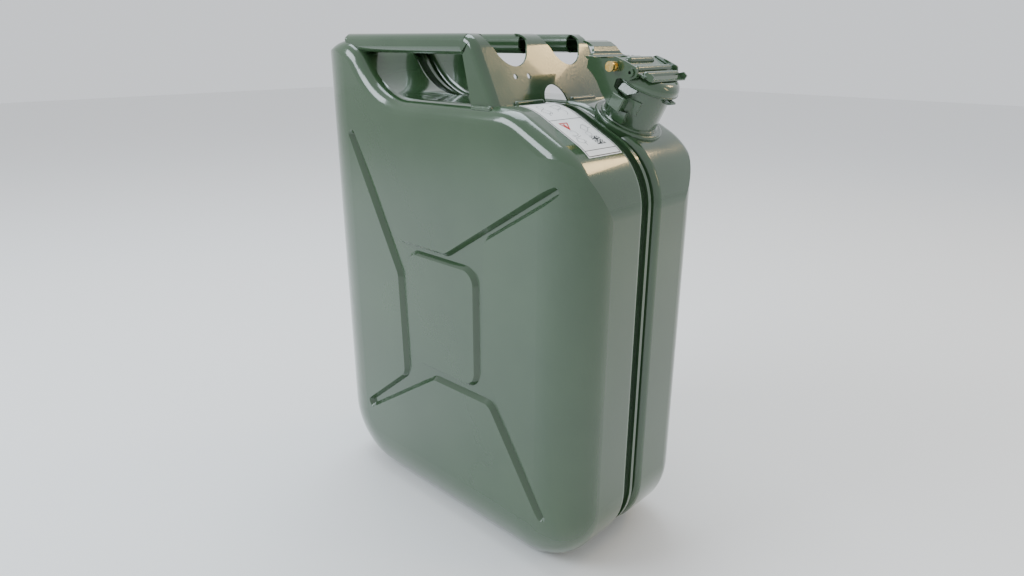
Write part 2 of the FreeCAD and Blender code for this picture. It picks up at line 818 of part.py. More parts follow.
ears = []
for side in SIDES:
    start = ear_near if side > 0 else -ear_near - ear_thick
    tag = "Far" if side > 0 else "Near"
    ear_plate = side_plate(f"{tag}EarPlate", [
        (hinge_u - dim("knuckle_radius"), hinge_w), (hinge_u - 2.0, hinge_w - 12.0),
        (-18.0, 10.0), (-18.0, 31.0), (hinge_u + dim("knuckle_radius"), hinge_w)], start, ear_thick)
    ear_round = cylinder(f"{tag}EarRound", (hinge_u, start, hinge_w), dim("knuckle_radius"),
                         ear_thick, ALONG_Y)
    ears.append(fuse(f"{tag}Ear", [ear_plate, ear_round]))
web = box("BracketWeb", (hinge_u + 3.0, -ear_near - 1.0, 12.0), (6.0, web_width, 11.0))
bracket_blank = fuse("BracketBlank", ears + [web])
bracket_bore = cylinder("BracketBore", (hinge_u, -through / 2, hinge_w), pin_r, through, ALONG_Y)
neck_room = cylinder("NeckRoom", (0, 0, 0), neck_r, through)
bracket_cut = cut("BracketCut", bracket_blank, bracket_bore)
on_neck(cut("HingeBracket", bracket_cut, neck_room), "hinge_bracket")

def pin_along_y(name, u, w, low, stations):
    """A turned pin lying along Y: stations are (distance from low, radius) pairs."""
    pieces = []
    for index in range(len(stations) - 1):
        start, radius = stations[index]
        end = stations[index + 1][0]
        pieces.append(cylinder(f"{name}{index}", (u, as_size(low) + start, w), radius,
                               as_size(end) - start, ALONG_Y))
    return fuse(name, pieces) if len(pieces) > 1 else pieces[0]


head = dim("rivet_head_height")
pin_head_r = dim("hinge_head_radius")
pin_start = -ear_near - ear_thick - head
pin_grip = ear_near * 2 + 2 * ear_thick
on_neck(pin_along_y("HingePin", hinge_u, hinge_w, pin_start, [
    (0, pin_head_r), (head, pin_r), (pin_grip + head, pin_head_r),
    (pin_grip + head * 2, pin_head_r)]), "hinge_pin")

cheek_in = dim("cheek_inner")
cheek_out = cheek_in + dim("lever_sheet")
strap = dim("strap_sheet")
flap_start = cheek_out + dim("flap_gap")
band_low = 15.5
band_height = 11.0
keeper_depth = flap_start + strap


def from_middle(side, inner, thickness):
    """Start along Y of a plate lying between inner and inner + thickness on one side."""
    return as_size(inner) if side > 0 else -(as_size(inner) + thickness)


def flap_rim(edge):
    """Edges round the outer face of a keeper flap."""
    outer = keeper_depth.value
    return min(abs(edge.BoundBox.YMin), abs(edge.BoundBox.YMax)) > outer - 1e-4


for side in SIDES:
    tag = "Far" if side > 0 else "Near"
    band = cylinder(f"{tag}Band", (0, 0, band_low), neck_r + strap, band_height)
    band_hole = cylinder(f"{tag}BandHole", (0, 0, band_low - 1), neck_r, band_height + 2)
    band_ring = cut(f"{tag}BandRing", band, band_hole)
    window = box(f"{tag}Window", (-1.0, from_middle(side, 14.0, 16.0), 14.0), (16.5, 16.0, 14.0))
    tongue = doc.addObject("Part::Common", f"{tag}Tongue")
    tongue.Base = band_ring
    tongue.Tool = window
    web_depth = keeper_depth - neck_r + 2.0 - 0.8
    web_plate = box(f"{tag}KeeperWeb", (4.9, from_middle(side, neck_r - 2.0, web_depth), 15.0),
                    (strap, web_depth, band_height))
    flap = side_plate(f"{tag}Flap", [(-6.0, 14.0), (6.5, 13.6), (6.5, 26.4), (-6.0, 25.8)],
                      from_middle(side, flap_start, strap), strap)
    soft_flap = rounded(f"{tag}SoftFlap", flap, 0.9, flap_rim)
    foot = side_plate(f"{tag}Foot", [(-1.0, 5.0), (10.5, 5.0), (10.5, 15.6), (-0.6, 12.0)],
                      from_middle(side, 20.0, 6.6), 6.6)
    keeper_blank = fuse(f"{tag}KeeperBlank", [tongue, web_plate, soft_flap, foot])
    keeper_bore = cylinder(f"{tag}KeeperBore", (0, 0, -5), neck_r, through)
    on_neck(cut(f"{tag}Keeper", keeper_blank, keeper_bore), f"{tag.lower()}_keeper")

LUG_PROFILE = [(22.0, 27.6), (27.8, 27.6), (27.8, 28.8), (24.9, 35.0), (22.0, 35.0)]


def lug_shape(side):
    """Wedge whose sloping face looks up and out, with its front lower corner cut away."""
    profile = Part.Face(Part.makePolygon(
        [Vector(0, side * y, w) for y, w in LUG_PROFILE + LUG_PROFILE[:1]]))
    wedge = profile.extrude(Vector(15.0, 0, 0))
    wedge.translate(Vector(-5.2, 0, 0))
    corner = Part.Face(Part.makePolygon([side_point(3.0, 27.0), side_point(11.0, 27.0),
                                         side_point(11.0, 34.0), side_point(3.0, 27.0)]))
    corner.translate(Vector(0, -40, 0))
    neck_room = Part.makeCylinder(mm("neck_radius"), 60, Vector(0, 0, -5))
    return wedge.cut([corner.extrude(Vector(0, 80, 0)), neck_room])


for side in SIDES:
    tag = "Far" if side > 0 else "Near"
    lug = doc.addObject("Part::Feature", f"{tag}Lug")
    lug.Shape = largest(lug_shape(side))
    on_neck(lug, f"{tag.lower()}_latch_lug")

drip = side_plate("DripPlate", [(22.0, 30.4), (28.5, 31.6), (31.0, 33.2), (30.4, 34.6), (22.0, 34.4)],
                  -3.5, 7.0)
drip_bore = cylinder("DripBore", (0, 0, -5), neck_r, through)
on_neck(cut("FrontLug", drip, drip_bore), "front_lug")

# ---- closure: cap -----------------------------------------------------------------

cap_top = dim("cap_top")
wall = dim("cap_wall")


def cap_shape():
    """Domed cap: straight skirt, round shoulder, flat top, rolled lower edge."""
    radius = mm("cap_radius")
    top = mm("cap_top")
    low = mm("cap_bottom")
    shoulder = mm("cap_shoulder")
    thick = mm("cap_wall")
    outside = Part.makeCylinder(radius, top - low, Vector(0, 0, low))
    outside = outside.makeFillet(shoulder, [edge for edge in outside.Edges
                                            if edge.BoundBox.ZMin > top - 0.01])
    inside = Part.makeCylinder(radius - thick, top - low - thick + 1, Vector(0, 0, low - 1))
    inside = inside.makeFillet(shoulder - thick, [edge for edge in inside.Edges
                                                  if edge.BoundBox.ZMin > top - thick - 0.01])
    lip = Part.makeTorus(radius - 0.1, 0.75, Vector(0, 0, low + 0.75))
    bore = Part.makeCylinder(mm("rivet_radius"), 20, Vector(0, 0, low))
    return outside.fuse(lip).cut(inside).cut(bore)


cap_item = doc.addObject("Part::Feature", "Cap")
cap_item.Shape = cap_shape()
on_neck(cap_item, "cap_shell")

gasket_top = cap_top - wall - 0.05
gasket_low = dim("gasket_bottom")
on_neck(turned_body("Gasket", [
    (dim("gasket_inner"), gasket_low), (dim("gasket_outer"), gasket_low),
    (dim("gasket_outer"), gasket_low + 0.5), (dim("cap_radius") - dim("cap_shoulder") + 0.3, gasket_top),
    (dim("gasket_inner"), gasket_top)]), "cap_gasket")

rivet_r = dim("rivet_radius")
retainer_top = gasket_low - 0.05
on_neck(turned_body("Retainer", [
    (rivet_r, retainer_top - 1.0), (dim("retainer_radius"), retainer_top - 1.0),
    (dim("retainer_radius"), retainer_top), (rivet_r, retainer_top)]), "gasket_retainer")

yoke_t = dim("yoke_sheet")
yoke_low = cap_top + 0.05
rivet_end = yoke_low + yoke_t + 0.8
on_neck(turned_body("CentreRivet", [
    (0, retainer_top - 2.2), (3.6, retainer_top - 2.2), (4.6, retainer_top - 1.0),
    (rivet_r, retainer_top - 1.0), (rivet_r, rivet_end), (0, rivet_end)]), "centre_rivet")


def yoke_shape():
    """Ribbed plate on the cap: hinge arm behind, an ear each side, a lip in front."""
    t = mm("yoke_sheet")
    low = mm("cap_top") + 0.05
    high = low + t
    width = mm("yoke_half_width")
    rear = mm("yoke_rear")
    front = mm("yoke_front")
    u = mm("hinge_u")
    w = mm("hinge_w")
    plate = solid_box((rear, -width, low), (front - 4, width, high))
    lip = Part.Face(Part.makePolygon([
        side_point(front - 4.5, low), side_point(front, low), side_point(front + 2.5, low + 0.6),
        side_point(front + 2.2, low + 1.6), side_point(front, low + 1.2),
        side_point(front - 4.5, high + 1.2), side_point(front - 4.5, low)]))
    lip.translate(Vector(0, -width + 2, 0))
    lip = lip.extrude(Vector(0, 2 * width - 4, 0))
    pieces = [plate, lip]
    rib = mm("rib_radius")
    for rib_u, reach in ((-14.7, 15.0), (-0.6, 22.3), (front - 6.5, 21.0)):
        bar = Part.makeCylinder(rib, 2 * reach, Vector(rib_u, -reach, high - 0.4), Vector(0, 1, 0))
        ends = [Part.makeSphere(rib, Vector(rib_u, y, high - 0.4)) for y in (-reach, reach)]
        whole = bar.fuse(ends)
        pieces.append(whole.common(solid_box((rear, -width, high - 0.2), (front, width, high + rib))))
    for side in SIDES:
        inner = width + 0.1
        low_y, high_y = sorted((side * inner, side * (inner + t)))
        ear = solid_box((-6.0, low_y, low - 3.6), (6.6, high_y, high))
        ear = ear.makeFillet(3.0, [edge for edge in edges_along(ear, Vector(0, 1, 0))
                                   if edge.BoundBox.ZMax < low])
        low_y, high_y = sorted((side * (width - 1), side * (inner + t)))
        pieces += [ear, solid_box((-6.0, low_y, low), (6.6, high_y, high))]
        low_y, high_y = sorted((side * (width - 3.4), side * (width - 1.9)))
        flange = Part.Face(Part.makePolygon([
            side_point(front - 7, high), side_point(front + 2.2, low + 0.8),
            side_point(front + 2.6, high + 3.2), side_point(front - 1.5, high + 4.4),
            side_point(front - 7, high)]))
        flange.translate(Vector(0, low_y, 0))
        pieces.append(flange.extrude(Vector(0, high_y - low_y, 0)))
    # The arm follows the cap's round shoulder down to the hinge knuckle.
    shoulder = mm("cap_shoulder")
    centre_r = mm("cap_radius") - shoulder
    centre_w = mm("cap_top") - shoulder
    gap = 0.1
    half = mm("knuckle_half")
    big = Part.makeCylinder(shoulder + gap + t, 2 * half, Vector(-centre_r, -half, centre_w),
                            Vector(0, 1, 0))
    small = Part.makeCylinder(shoulder + gap, 2 * half, Vector(-centre_r, -half, centre_w),
                              Vector(0, 1, 0))
    bend = big.cut(small).common(solid_box((-40, -half, centre_w), (-centre_r, half, high + 1)))
    drop_u = -centre_r - shoulder - gap
    drop = solid_box((drop_u - t, -half, w), (drop_u, half, centre_w))
    bridge = solid_box((-centre_r - 0.1, -half, low), (rear + 1, half, high))
    knuckle = Part.makeCylinder(mm("knuckle_radius"), 2 * half, Vector(u, -half, w), Vector(0, 1, 0))
    yoke = plate.fuse(pieces[1:] + [bend, drop, bridge, knuckle])
    room = Part.makeCylinder(mm("cap_radius") + gap, mm("cap_top") - mm("cap_bottom") - shoulder,
                             Vector(0, 0, mm("cap_bottom")))
    pin_hole = Part.makeCylinder(mm("hinge_pin_radius") + mm("running_gap"), 80,
                                 Vector(u, -40, w), Vector(0, 1, 0))
    pivot_hole = Part.makeCylinder(mm("pivot_radius"), 80,
                                   Vector(mm("pivot_u"), -40, mm("pivot_w")), Vector(0, 1, 0))
    centre_hole = Part.makeCylinder(mm("rivet_radius"), t + 1.2, Vector(0, 0, low - 0.1))
    lip_room = Part.makeCylinder(mm("cap_radius") + 0.9, 3.4, Vector(0, 0, mm("cap_bottom") - 1.6))
    return yoke.cut([room, lip_room, pin_hole, pivot_hole, centre_hole]).removeSplitter()


yoke_item = doc.addObject("Part::Feature", "Yoke")
yoke_item.Shape = yoke_shape()
on_neck(yoke_item, "cap_yoke")

pivot_u = dim("pivot_u")
pivot_w = dim("pivot_w")
pivot_r = dim("pivot_radius")
ear_inner = dim("yoke_half_width") + 0.1
pivot_head_r = dim("pivot_head_radius")
pivot_eye_r = dim("pivot_eye_radius")
pivot_shank = cheek_out - ear_inner + 0.3
near_pivot = pin_along_y("NearPivot", pivot_u, pivot_w, -cheek_out - 0.3 - head, [
    (0, pivot_head_r), (head, pivot_r), (pivot_shank + head, pivot_r)])
far_pivot = pin_along_y("FarPivot", pivot_u, pivot_w, ear_inner, [
    (0, pivot_r), (pivot_shank, pivot_head_r), (pivot_shank + head, pivot_head_r)])
eye_depth = 3.0
near_eye = cylinder("NearEye", (pivot_u, -cheek_out - 0.3 - head, pivot_w), pivot_eye_r, eye_depth, ALONG_Y)
far_eye = cylinder("FarEye", (pivot_u, cheek_out + 0.3 + head - eye_depth, pivot_w), pivot_eye_r,
                   eye_depth, ALONG_Y)
pivots = doc.addObject("Part::Compound", "Pivots")
pivots.Links = [cut("NearTube", near_pivot, near_eye), cut("FarTube", far_pivot, far_eye)]
on_neck(pivots, "pivot_rivets")

# ---- closure: lever ---------------------------------------------------------------

cheek_corners = [
    (-42.5, 37.2), (-39.9, 28.2), (-32.6, 26.6), (-25.5, 23.6), (-17.5, 18.4), (-7.0, 13.6),
    (-0.5, 13.6), (3.6, 24.5), (-2.6, 26.4), (-8.6, 28.6), (-9.4, 35.0), (-6.5, 37.2),
    (1.6, 39.1), (6.9, 45.6), (3.5, 51.4), (-9.0, 50.6), (-18.9, 49.1), (-22.6, 45.6), (-31.9, 40.6)]
lever_parts = []
for side in SIDES:
    tag = "Far" if side > 0 else "Near"
    start = cheek_in if side > 0 else -cheek_out
    cheek = side_plate(f"{tag}CheekBlank", cheek_corners, start, dim("lever_sheet"))
    lever_parts.append(rounded(f"{tag}Cheek", cheek, 2.2, along_y))


def bridge_shape():
    """Bridge between the cheeks and the curled thumb tail, as one bent sheet."""
    t = mm("lever_sheet")
    inner = mm("cheek_inner")
    to_neck = neck_frame.inverse()
    top = 445.0
    path = [(110.0, top - t), (110.0, top), (99.5, top), (97.2, top + 1.5), (96.0, top + 4.5),
            (93.5, top + 8.0), (87.5, top + 11.5), (83.0, top + 12.6), (82.2, top + 11.4),
            (86.6, top + 9.8), (91.6, top + 6.6), (93.6, top + 3.6), (94.8, top - 0.2), (98.0, top - t)]
    face = Part.Face(Part.makePolygon([side_point(*p) for p in path + path[:1]]))
    centre_y = mm("neck_y")
    face.translate(Vector(0, centre_y - inner - 0.2, 0))
    sheet_shape = face.extrude(Vector(0, 2 * inner + 0.4, 0))
    smooth = [edge for edge in edges_along(sheet_shape, Vector(0, 1, 0))
              if edge.BoundBox.ZMin > top + 0.5 and edge.BoundBox.ZMax < top + 11.0]
    sheet_shape = sheet_shape.makeFillet(1.6, smooth)
    tail = mm("tail_half_width")
    for side in SIDES:
        edge_y = centre_y + side * tail
        out_y = centre_y + side * (inner + 5)
        low_y, high_y = sorted((edge_y, out_y))
        notch = solid_box((70, low_y, top + 0.6), (104, high_y, top + 20))
        corner = [edge for edge in edges_along(notch, Vector(1, 0, 0))
                  if edge.BoundBox.ZMax < top + 1 and abs(edge.BoundBox.YMin - edge_y) < 1e-6]
        sheet_shape = sheet_shape.cut(notch.makeFillet(9.0, corner))
    sheet_shape.Placement = to_neck.multiply(sheet_shape.Placement)
    return sheet_shape


bridge_item = doc.addObject("Part::Feature", "Bridge")
bridge_item.Shape = bridge_shape()
lever_blank = fuse("LeverBlank", lever_parts + [bridge_item])
lever_bore = cylinder("LeverBore", (pivot_u, -40, pivot_w), pivot_r + dim("running_gap"), 80, ALONG_Y)
lock_hole = cylinder("LockHole", (dim("lock_u"), -40, dim("lock_w")),
                     dim("lock_radius") + dim("running_gap"), 15, ALONG_Y)
lever_bored = cut("LeverBored", lever_blank, lever_bore)
on_neck(cut("Lever", lever_bored, lock_hole), "lever")

bush = cylinder("BushBlank", (dim("lock_u"), -cheek_out - dim("lock_bush_height"), dim("lock_w")),
                dim("lock_bush_radius"), dim("lock_bush_height"), ALONG_Y)
bush_bore = cylinder("BushBore", (dim("lock_u"), -40, dim("lock_w")),
                     dim("lock_radius") + dim("running_gap"), 15, ALONG_Y)
on_neck(cut("LockBush", bush, bush_bore), "lock_bush")

lock_tip = -cheek_in + 1.0
lock_neck = -cheek_out - dim("lock_bush_height") - dim("lock_stroke") - 0.2
lock_start = lock_neck - dim("lock_head_height")
on_neck(pin_along_y("LockPin", dim("lock_u"), dim("lock_w"), lock_start, [
    (0, dim("lock_head_radius")), (dim("lock_head_height"), dim("lock_radius")),
    (lock_tip - lock_start, dim("lock_radius"))]), "lock_pin")

# ---- label ------------------------------------------------------------------------

label_x = 113.7
label_y = -36.5
label_blank = Part.makeBox(mm("label_length"), mm("label_width"), mm("label_thick"),
                           Vector(-mm("label_length") / 2, -mm("label_width") / 2, 0.02))
label_blank = label_blank.makeFillet(2.0, edges_along(label_blank, Vector(0, 0, 1)))
label_blank.Placement = Placement(Vector(label_x, label_y, 0), Rotation(Vector(0, 1, 0), mm("slope_angle")))
slope_line_z = mm("nose_height") + mm("nose_radius") * math.cos(slope)
slope_line_x = mm("tank_length") / 2 - mm("nose_radius") + mm("nose_radius") * math.sin(slope)
label_blank.translate(Vector(0, 0, slope_line_z + (slope_line_x - label_x) * math.tan(slope)))
label_item = doc.addObject("Part::Feature", "Label")
label_item.Shape = label_blank
keep_part(label_item, "label_sticker")

# ---- checks and export ------------------------------------------------------------

doc.recompute()
for item in doc.Objects:
    if "Invalid" in item.State or "Error" in item.State:
        raise RuntimeError(f"{item.Name} failed: {item.State}")
os.makedirs("parts", exist_ok=True)
for item in PARTS:
    if item.Shape.isNull() or not item.Shape.isValid():
        raise RuntimeError(f"{item.Label} has no valid shape")
    item.Shape.exportStep(f"parts/{item.Label}.step")
    print(f"{item.Label:20s} solids {len(item.Shape.Solids)} volume {item.Shape.Volume:10.0f}")
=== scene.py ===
import math

import bmesh
import bpy
from mathutils import Matrix, Vector


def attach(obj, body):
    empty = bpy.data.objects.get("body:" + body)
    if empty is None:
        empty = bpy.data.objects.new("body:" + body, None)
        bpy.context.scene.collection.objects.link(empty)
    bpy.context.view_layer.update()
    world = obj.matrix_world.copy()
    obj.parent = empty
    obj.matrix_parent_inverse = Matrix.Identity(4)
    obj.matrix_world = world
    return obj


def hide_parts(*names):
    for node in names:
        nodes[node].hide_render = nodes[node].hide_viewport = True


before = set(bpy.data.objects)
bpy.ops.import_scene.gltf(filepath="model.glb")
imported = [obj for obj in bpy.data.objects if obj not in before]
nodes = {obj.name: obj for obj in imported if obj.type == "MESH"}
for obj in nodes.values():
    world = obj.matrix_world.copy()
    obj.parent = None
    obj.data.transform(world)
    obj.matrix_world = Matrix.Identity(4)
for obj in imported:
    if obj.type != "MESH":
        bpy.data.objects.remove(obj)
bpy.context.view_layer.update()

MM = 0.001

CAMERA_LENS = 24.97
SENSOR_WIDTH = 36.0
CAMERA_PLACE = (0.478, -0.4771, 0.4585)
CAMERA_TURN = (70.68, -0.14, 43.98)


# ---- camera -----------------------------------------------------------------------

def set_camera():
    """Eye-level view from beyond the neck, down onto the labelled face."""
    lens = bpy.data.cameras.new("view_camera")
    lens.lens = CAMERA_LENS
    lens.sensor_width = SENSOR_WIDTH
    lens.clip_start = 0.02
    camera = bpy.data.objects.new("view_camera", lens)
    camera.location = CAMERA_PLACE
    camera.rotation_euler = [math.radians(turn) for turn in CAMERA_TURN]
    bpy.context.scene.collection.objects.link(camera)
    bpy.context.scene.camera = camera


# ---- materials --------------------------------------------------------------------

def new_material(name):
    material = bpy.data.materials.new(name)
    material.use_nodes = True
    tree = material.node_tree
    shader = next(node for node in tree.nodes if node.type == "BSDF_PRINCIPLED")
    return material, tree, shader


def object_noise(tree, scale, detail, roughness=0.5):
    place = tree.nodes.new("ShaderNodeTexCoord")
    noise = tree.nodes.new("ShaderNodeTexNoise")
    noise.inputs["Scale"].default_value = scale
    noise.inputs["Detail"].default_value = detail
    noise.inputs["Roughness"].default_value = roughness
    tree.links.new(place.outputs["Object"], noise.inputs["Vector"])
    return noise.outputs["Fac"]


def colour_between(tree, factor, low, high, start=0.35, end=0.65):
    ramp = tree.nodes.new("ShaderNodeValToRGB")
    ramp.color_ramp.elements[0].position = start
    ramp.color_ramp.elements[0].color = (*low, 1.0)
    ramp.color_ramp.elements[1].position = end
    ramp.color_ramp.elements[1].color = (*high, 1.0)
    tree.links.new(factor, ramp.inputs["Fac"])
    return ramp.outputs["Color"]


def value_between(tree, factor, low, high):
    spread = tree.nodes.new("ShaderNodeMapRange")
    spread.inputs["From Min"].default_value = 0.3
    spread.inputs["From Max"].default_value = 0.7
    spread.inputs["To Min"].default_value = low
    spread.inputs["To Max"].default_value = high
    tree.links.new(factor, spread.inputs["Value"])
    return spread.outputs["Result"]


def add_bumps(tree, shader, layers):
    """Stack height layers, each (noise output, distance in metres), onto the shader's normal."""
    last = None
    for height, distance in layers:
        bump = tree.nodes.new("ShaderNodeBump")
        bump.inputs["Strength"].default_value = 1.0
        bump.inputs["Distance"].default_value = distance
        tree.links.new(height, bump.inputs["Height"])
        if last is not None:
            tree.links.new(last, bump.inputs["Normal"])
        last = bump.outputs["Normal"]
    tree.links.new(last, shader.inputs["Normal"])


OLIVE_DARK = (0.026, 0.060, 0.026)
OLIVE_LIGHT = (0.035, 0.074, 0.033)


def olive_enamel(name, peel=0.00006, wave=0.0, lumps=0.0):
    """Glossy green enamel: orange peel, soft sheet waves, and lumps where it covers welds."""
    material, tree, shader = new_material(name)
    drift = object_noise(tree, 9.0, 3.0)
    tree.links.new(colour_between(tree, drift, OLIVE_DARK, OLIVE_LIGHT), shader.inputs["Base Color"])
    smear = object_noise(tree, 30.0, 4.0)
    tree.links.new(value_between(tree, smear, 0.13, 0.2), shader.inputs["Roughness"])
    shader.inputs["IOR"].default_value = 1.53
    shader.inputs["Coat Weight"].default_value = 0.6
    shader.inputs["Coat Roughness"].default_value = 0.04
    layers = [(object_noise(tree, 420.0, 2.0), peel)]
    if wave:
        layers.append((object_noise(tree, 14.0, 1.0), wave))
    if lumps:
        layers.append((object_noise(tree, 260.0, 3.0, 0.6), lumps))
    add_bumps(tree, shader, layers)
    return material


def yellow_zinc():
    material, tree, shader = new_material("yellow_zinc")
    patch = object_noise(tree, 300.0, 4.0)
    tree.links.new(colour_between(tree, patch, (0.62, 0.40, 0.10), (0.80, 0.62, 0.28)),
                   shader.inputs["Base Color"])
    tree.links.new(value_between(tree, patch, 0.18, 0.34), shader.inputs["Roughness"])
    shader.inputs["Metallic"].default_value = 1.0
    add_bumps(tree, shader, [(object_noise(tree, 1500.0, 2.0), 0.00002)])
    return material


def zinc_plate():
    material, tree, shader = new_material("zinc_plate")
    spangle = object_noise(tree, 160.0, 4.0)
    tree.links.new(colour_between(tree, spangle, (0.42, 0.44, 0.46), (0.62, 0.64, 0.65)),
                   shader.inputs["Base Color"])
    tree.links.new(value_between(tree, spangle, 0.22, 0.42), shader.inputs["Roughness"])
    shader.inputs["Metallic"].default_value = 1.0
    add_bumps(tree, shader, [(object_noise(tree, 900.0, 2.0), 0.00002)])
    return material


def black_rubber():
    material, tree, shader = new_material("black_rubber")
    dust = object_noise(tree, 200.0, 4.0)
    tree.links.new(colour_between(tree, dust, (0.012, 0.012, 0.012), (0.03, 0.03, 0.03)),
                   shader.inputs["Base Color"])
    tree.links.new(value_between(tree, dust, 0.5, 0.7), shader.inputs["Roughness"])
    add_bumps(tree, shader, [(object_noise(tree, 2200.0, 2.0), 0.00003)])
    return material


def label_film(name, low, high):
    material, tree, shader = new_material(name)
    tone = object_noise(tree, 60.0, 3.0)
    tree.links.new(colour_between(tree, tone, low, high), shader.inputs["Base Color"])
    tree.links.new(value_between(tree, tone, 0.28, 0.4), shader.inputs["Roughness"])
    add_bumps(tree, shader, [(object_noise(tree, 500.0, 2.0), 0.00001)])
    return material


def paint_cad_nodes():
    """Give every carried-over CAD node its finish."""
    pressed = olive_enamel("olive_enamel_pressed", peel=0.00004, wave=0.0004)
    fitted = olive_enamel("olive_enamel_fitted", peel=0.00005)
    welded = olive_enamel("olive_enamel_weld", peel=0.00005, lumps=0.0005)
    seam = olive_enamel("olive_enamel_seam", peel=0.00004, lumps=0.00025)
    finishes = {
        "right_half_shell": pressed, "left_half_shell": pressed,
        "seam_weld": seam, "handle_rear_welds": welded, "handle_front_welds": welded,
        "neck_weld": welded, "neck_saddle": seam,
        "vent_tube": zinc_plate(), "cap_gasket": black_rubber(), "lock_pin": yellow_zinc(),
    }
    finishes["lock_bush"] = finishes["lock_pin"]
    finishes["gasket_retainer"] = finishes["vent_tube"]
    finishes["centre_rivet"] = finishes["vent_tube"]
    for name, node in nodes.items():
        for place in node.material_slots:
            place.material = finishes.get(name, fitted)


# ---- label ------------------------------------------------------------------------

# The tank's top line above the label: flat, then the brow arc, the slope and the nose arc.
# Lengths are in mm, and LABEL_MIDDLE is measured along that line from the start of the brow.
FLAT_TOP = 408.5
BROW_START = 77.0
BROW_RADIUS = 60.0
NOSE_RADIUS = 62.0
SLOPE = math.radians(27.0)
BROW_LENGTH = BROW_RADIUS * SLOPE
SLOPE_LENGTH = 38.6
LABEL_MIDDLE = 43.6
LABEL_ACROSS = -36.5
LABEL_HALF_LONG = 40.0
LABEL_HALF_WIDE = 20.5
FILM_LIFT = 0.16
FILM_THICK = 0.15
PRINT_LIFT = 0.36


def on_label(along, across, lift):
    """A point of the label, which follows the brow, the slope and the nose of the tank (mm)."""
    run = LABEL_MIDDLE + along
    lean = SLOPE
    if run < BROW_LENGTH:
        lean = run / BROW_RADIUS
    if run > BROW_LENGTH + SLOPE_LENGTH:
        lean = SLOPE + (run - BROW_LENGTH - SLOPE_LENGTH) / NOSE_RADIUS
    brow_lean = min(lean, SLOPE)
    x = BROW_START + BROW_RADIUS * math.sin(brow_lean)
    z = FLAT_TOP - BROW_RADIUS * (1 - math.cos(brow_lean))
    on_slope = min(max(run - BROW_LENGTH, 0.0), SLOPE_LENGTH)
    x += on_slope * math.cos(SLOPE)
    z -= on_slope * math.sin(SLOPE)
    if lean > SLOPE:
        x += NOSE_RADIUS * (math.sin(lean) - math.sin(SLOPE))
        z -= NOSE_RADIUS * (math.cos(SLOPE) - math.cos(lean))
    return Vector((x + lift * math.sin(lean), LABEL_ACROSS + across, z + lift * math.cos(lean))) * MM


def label_piece(name, build, material, lift):
    """build fills a flat bmesh in label axes (along, across), in mm; it is laid on the tank."""
    work = bmesh.new()
    build(work)
    for corner in work.verts:
        corner.co = on_label(corner.co.x, corner.co.y, lift + corner.co.z)
    mesh = bpy.data.meshes.new(name)
    work.to_mesh(mesh)
    work.free()
    piece = bpy.data.objects.new(name, mesh)
    bpy.context.scene.collection.objects.link(piece)
    mesh.materials.append(material)
    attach(piece, "can")
    return piece


def film_sheet(work):
    """The label's own film, a closed thin sheet."""
    size = Matrix.Diagonal((2 * LABEL_HALF_LONG, 2 * LABEL_HALF_WIDE, 1, 1))
    sheet = bmesh.ops.create_grid(work, x_segments=64, y_segments=8, size=0.5, matrix=size)
    faces = list({face for corner in sheet["verts"] for face in corner.link_faces})
    raised = bmesh.ops.extrude_face_region(work, geom=faces)
    for item in raised["geom"]:
        if isinstance(item, bmesh.types.BMVert):
            item.co.z += FILM_THICK
    bmesh.ops.recalc_face_normals(work, faces=work.faces)


def stroke(work, start, end, width):
    """A thin filled line between two points of the label."""
    start = Vector((*start, 0))
    end = Vector((*end, 0))
    along = end - start
    turn = math.atan2(along.y, along.x)
    place = Matrix.Translation((start + end) / 2) @ Matrix.Rotation(turn, 4, "Z")
    size = Matrix.Diagonal((along.length + width * 0.6, width, 1, 1))
    pieces = max(1, math.ceil(along.length / 1.5))
    bmesh.ops.create_grid(work, x_segments=pieces, y_segments=1, size=0.5, matrix=place @ size)


def outline_strokes(work, points, width, closed=True):
    count = len(points)
    for index in range(count if closed else count - 1):
        stroke(work, points[index], points[(index + 1) % count], width)


def ring_strokes(work, centre, radius, width, turns=(0, 360), steps=20):
    points = [(centre[0] + radius * math.cos(math.radians(turns[0] + (turns[1] - turns[0]) * k / steps)),
               centre[1] + radius * math.sin(math.radians(turns[0] + (turns[1] - turns[0]) * k / steps)))
              for k in range(steps + 1)]
    outline_strokes(work, points, width, closed=False)


def can_sketch(work, centre, size, tilt):
    """Little outline of a can with a handle and a spout."""
    shape = [(-0.5, -0.6), (0.5, -0.6), (0.5, 0.35), (0.2, 0.6), (-0.5, 0.6)]
    spout = [(0.35, 0.48), (0.75, 0.8)]
    turn = math.radians(tilt)

    def put(point):
        x = point[0] * size
        y = point[1] * size
        return (centre[0] + x * math.cos(turn) - y * math.sin(turn),
                centre[1] + x * math.sin(turn) + y * math.cos(turn))

    outline_strokes(work, [put(p) for p in shape], 0.35)
    outline_strokes(work, [put(p) for p in spout], 0.5, closed=False)
    outline_strokes(work, [put((-0.4, 0.6)), put((-0.3, 0.85)), put((0.1, 0.85)), put((0.15, 0.62))],
                    0.3, closed=False)


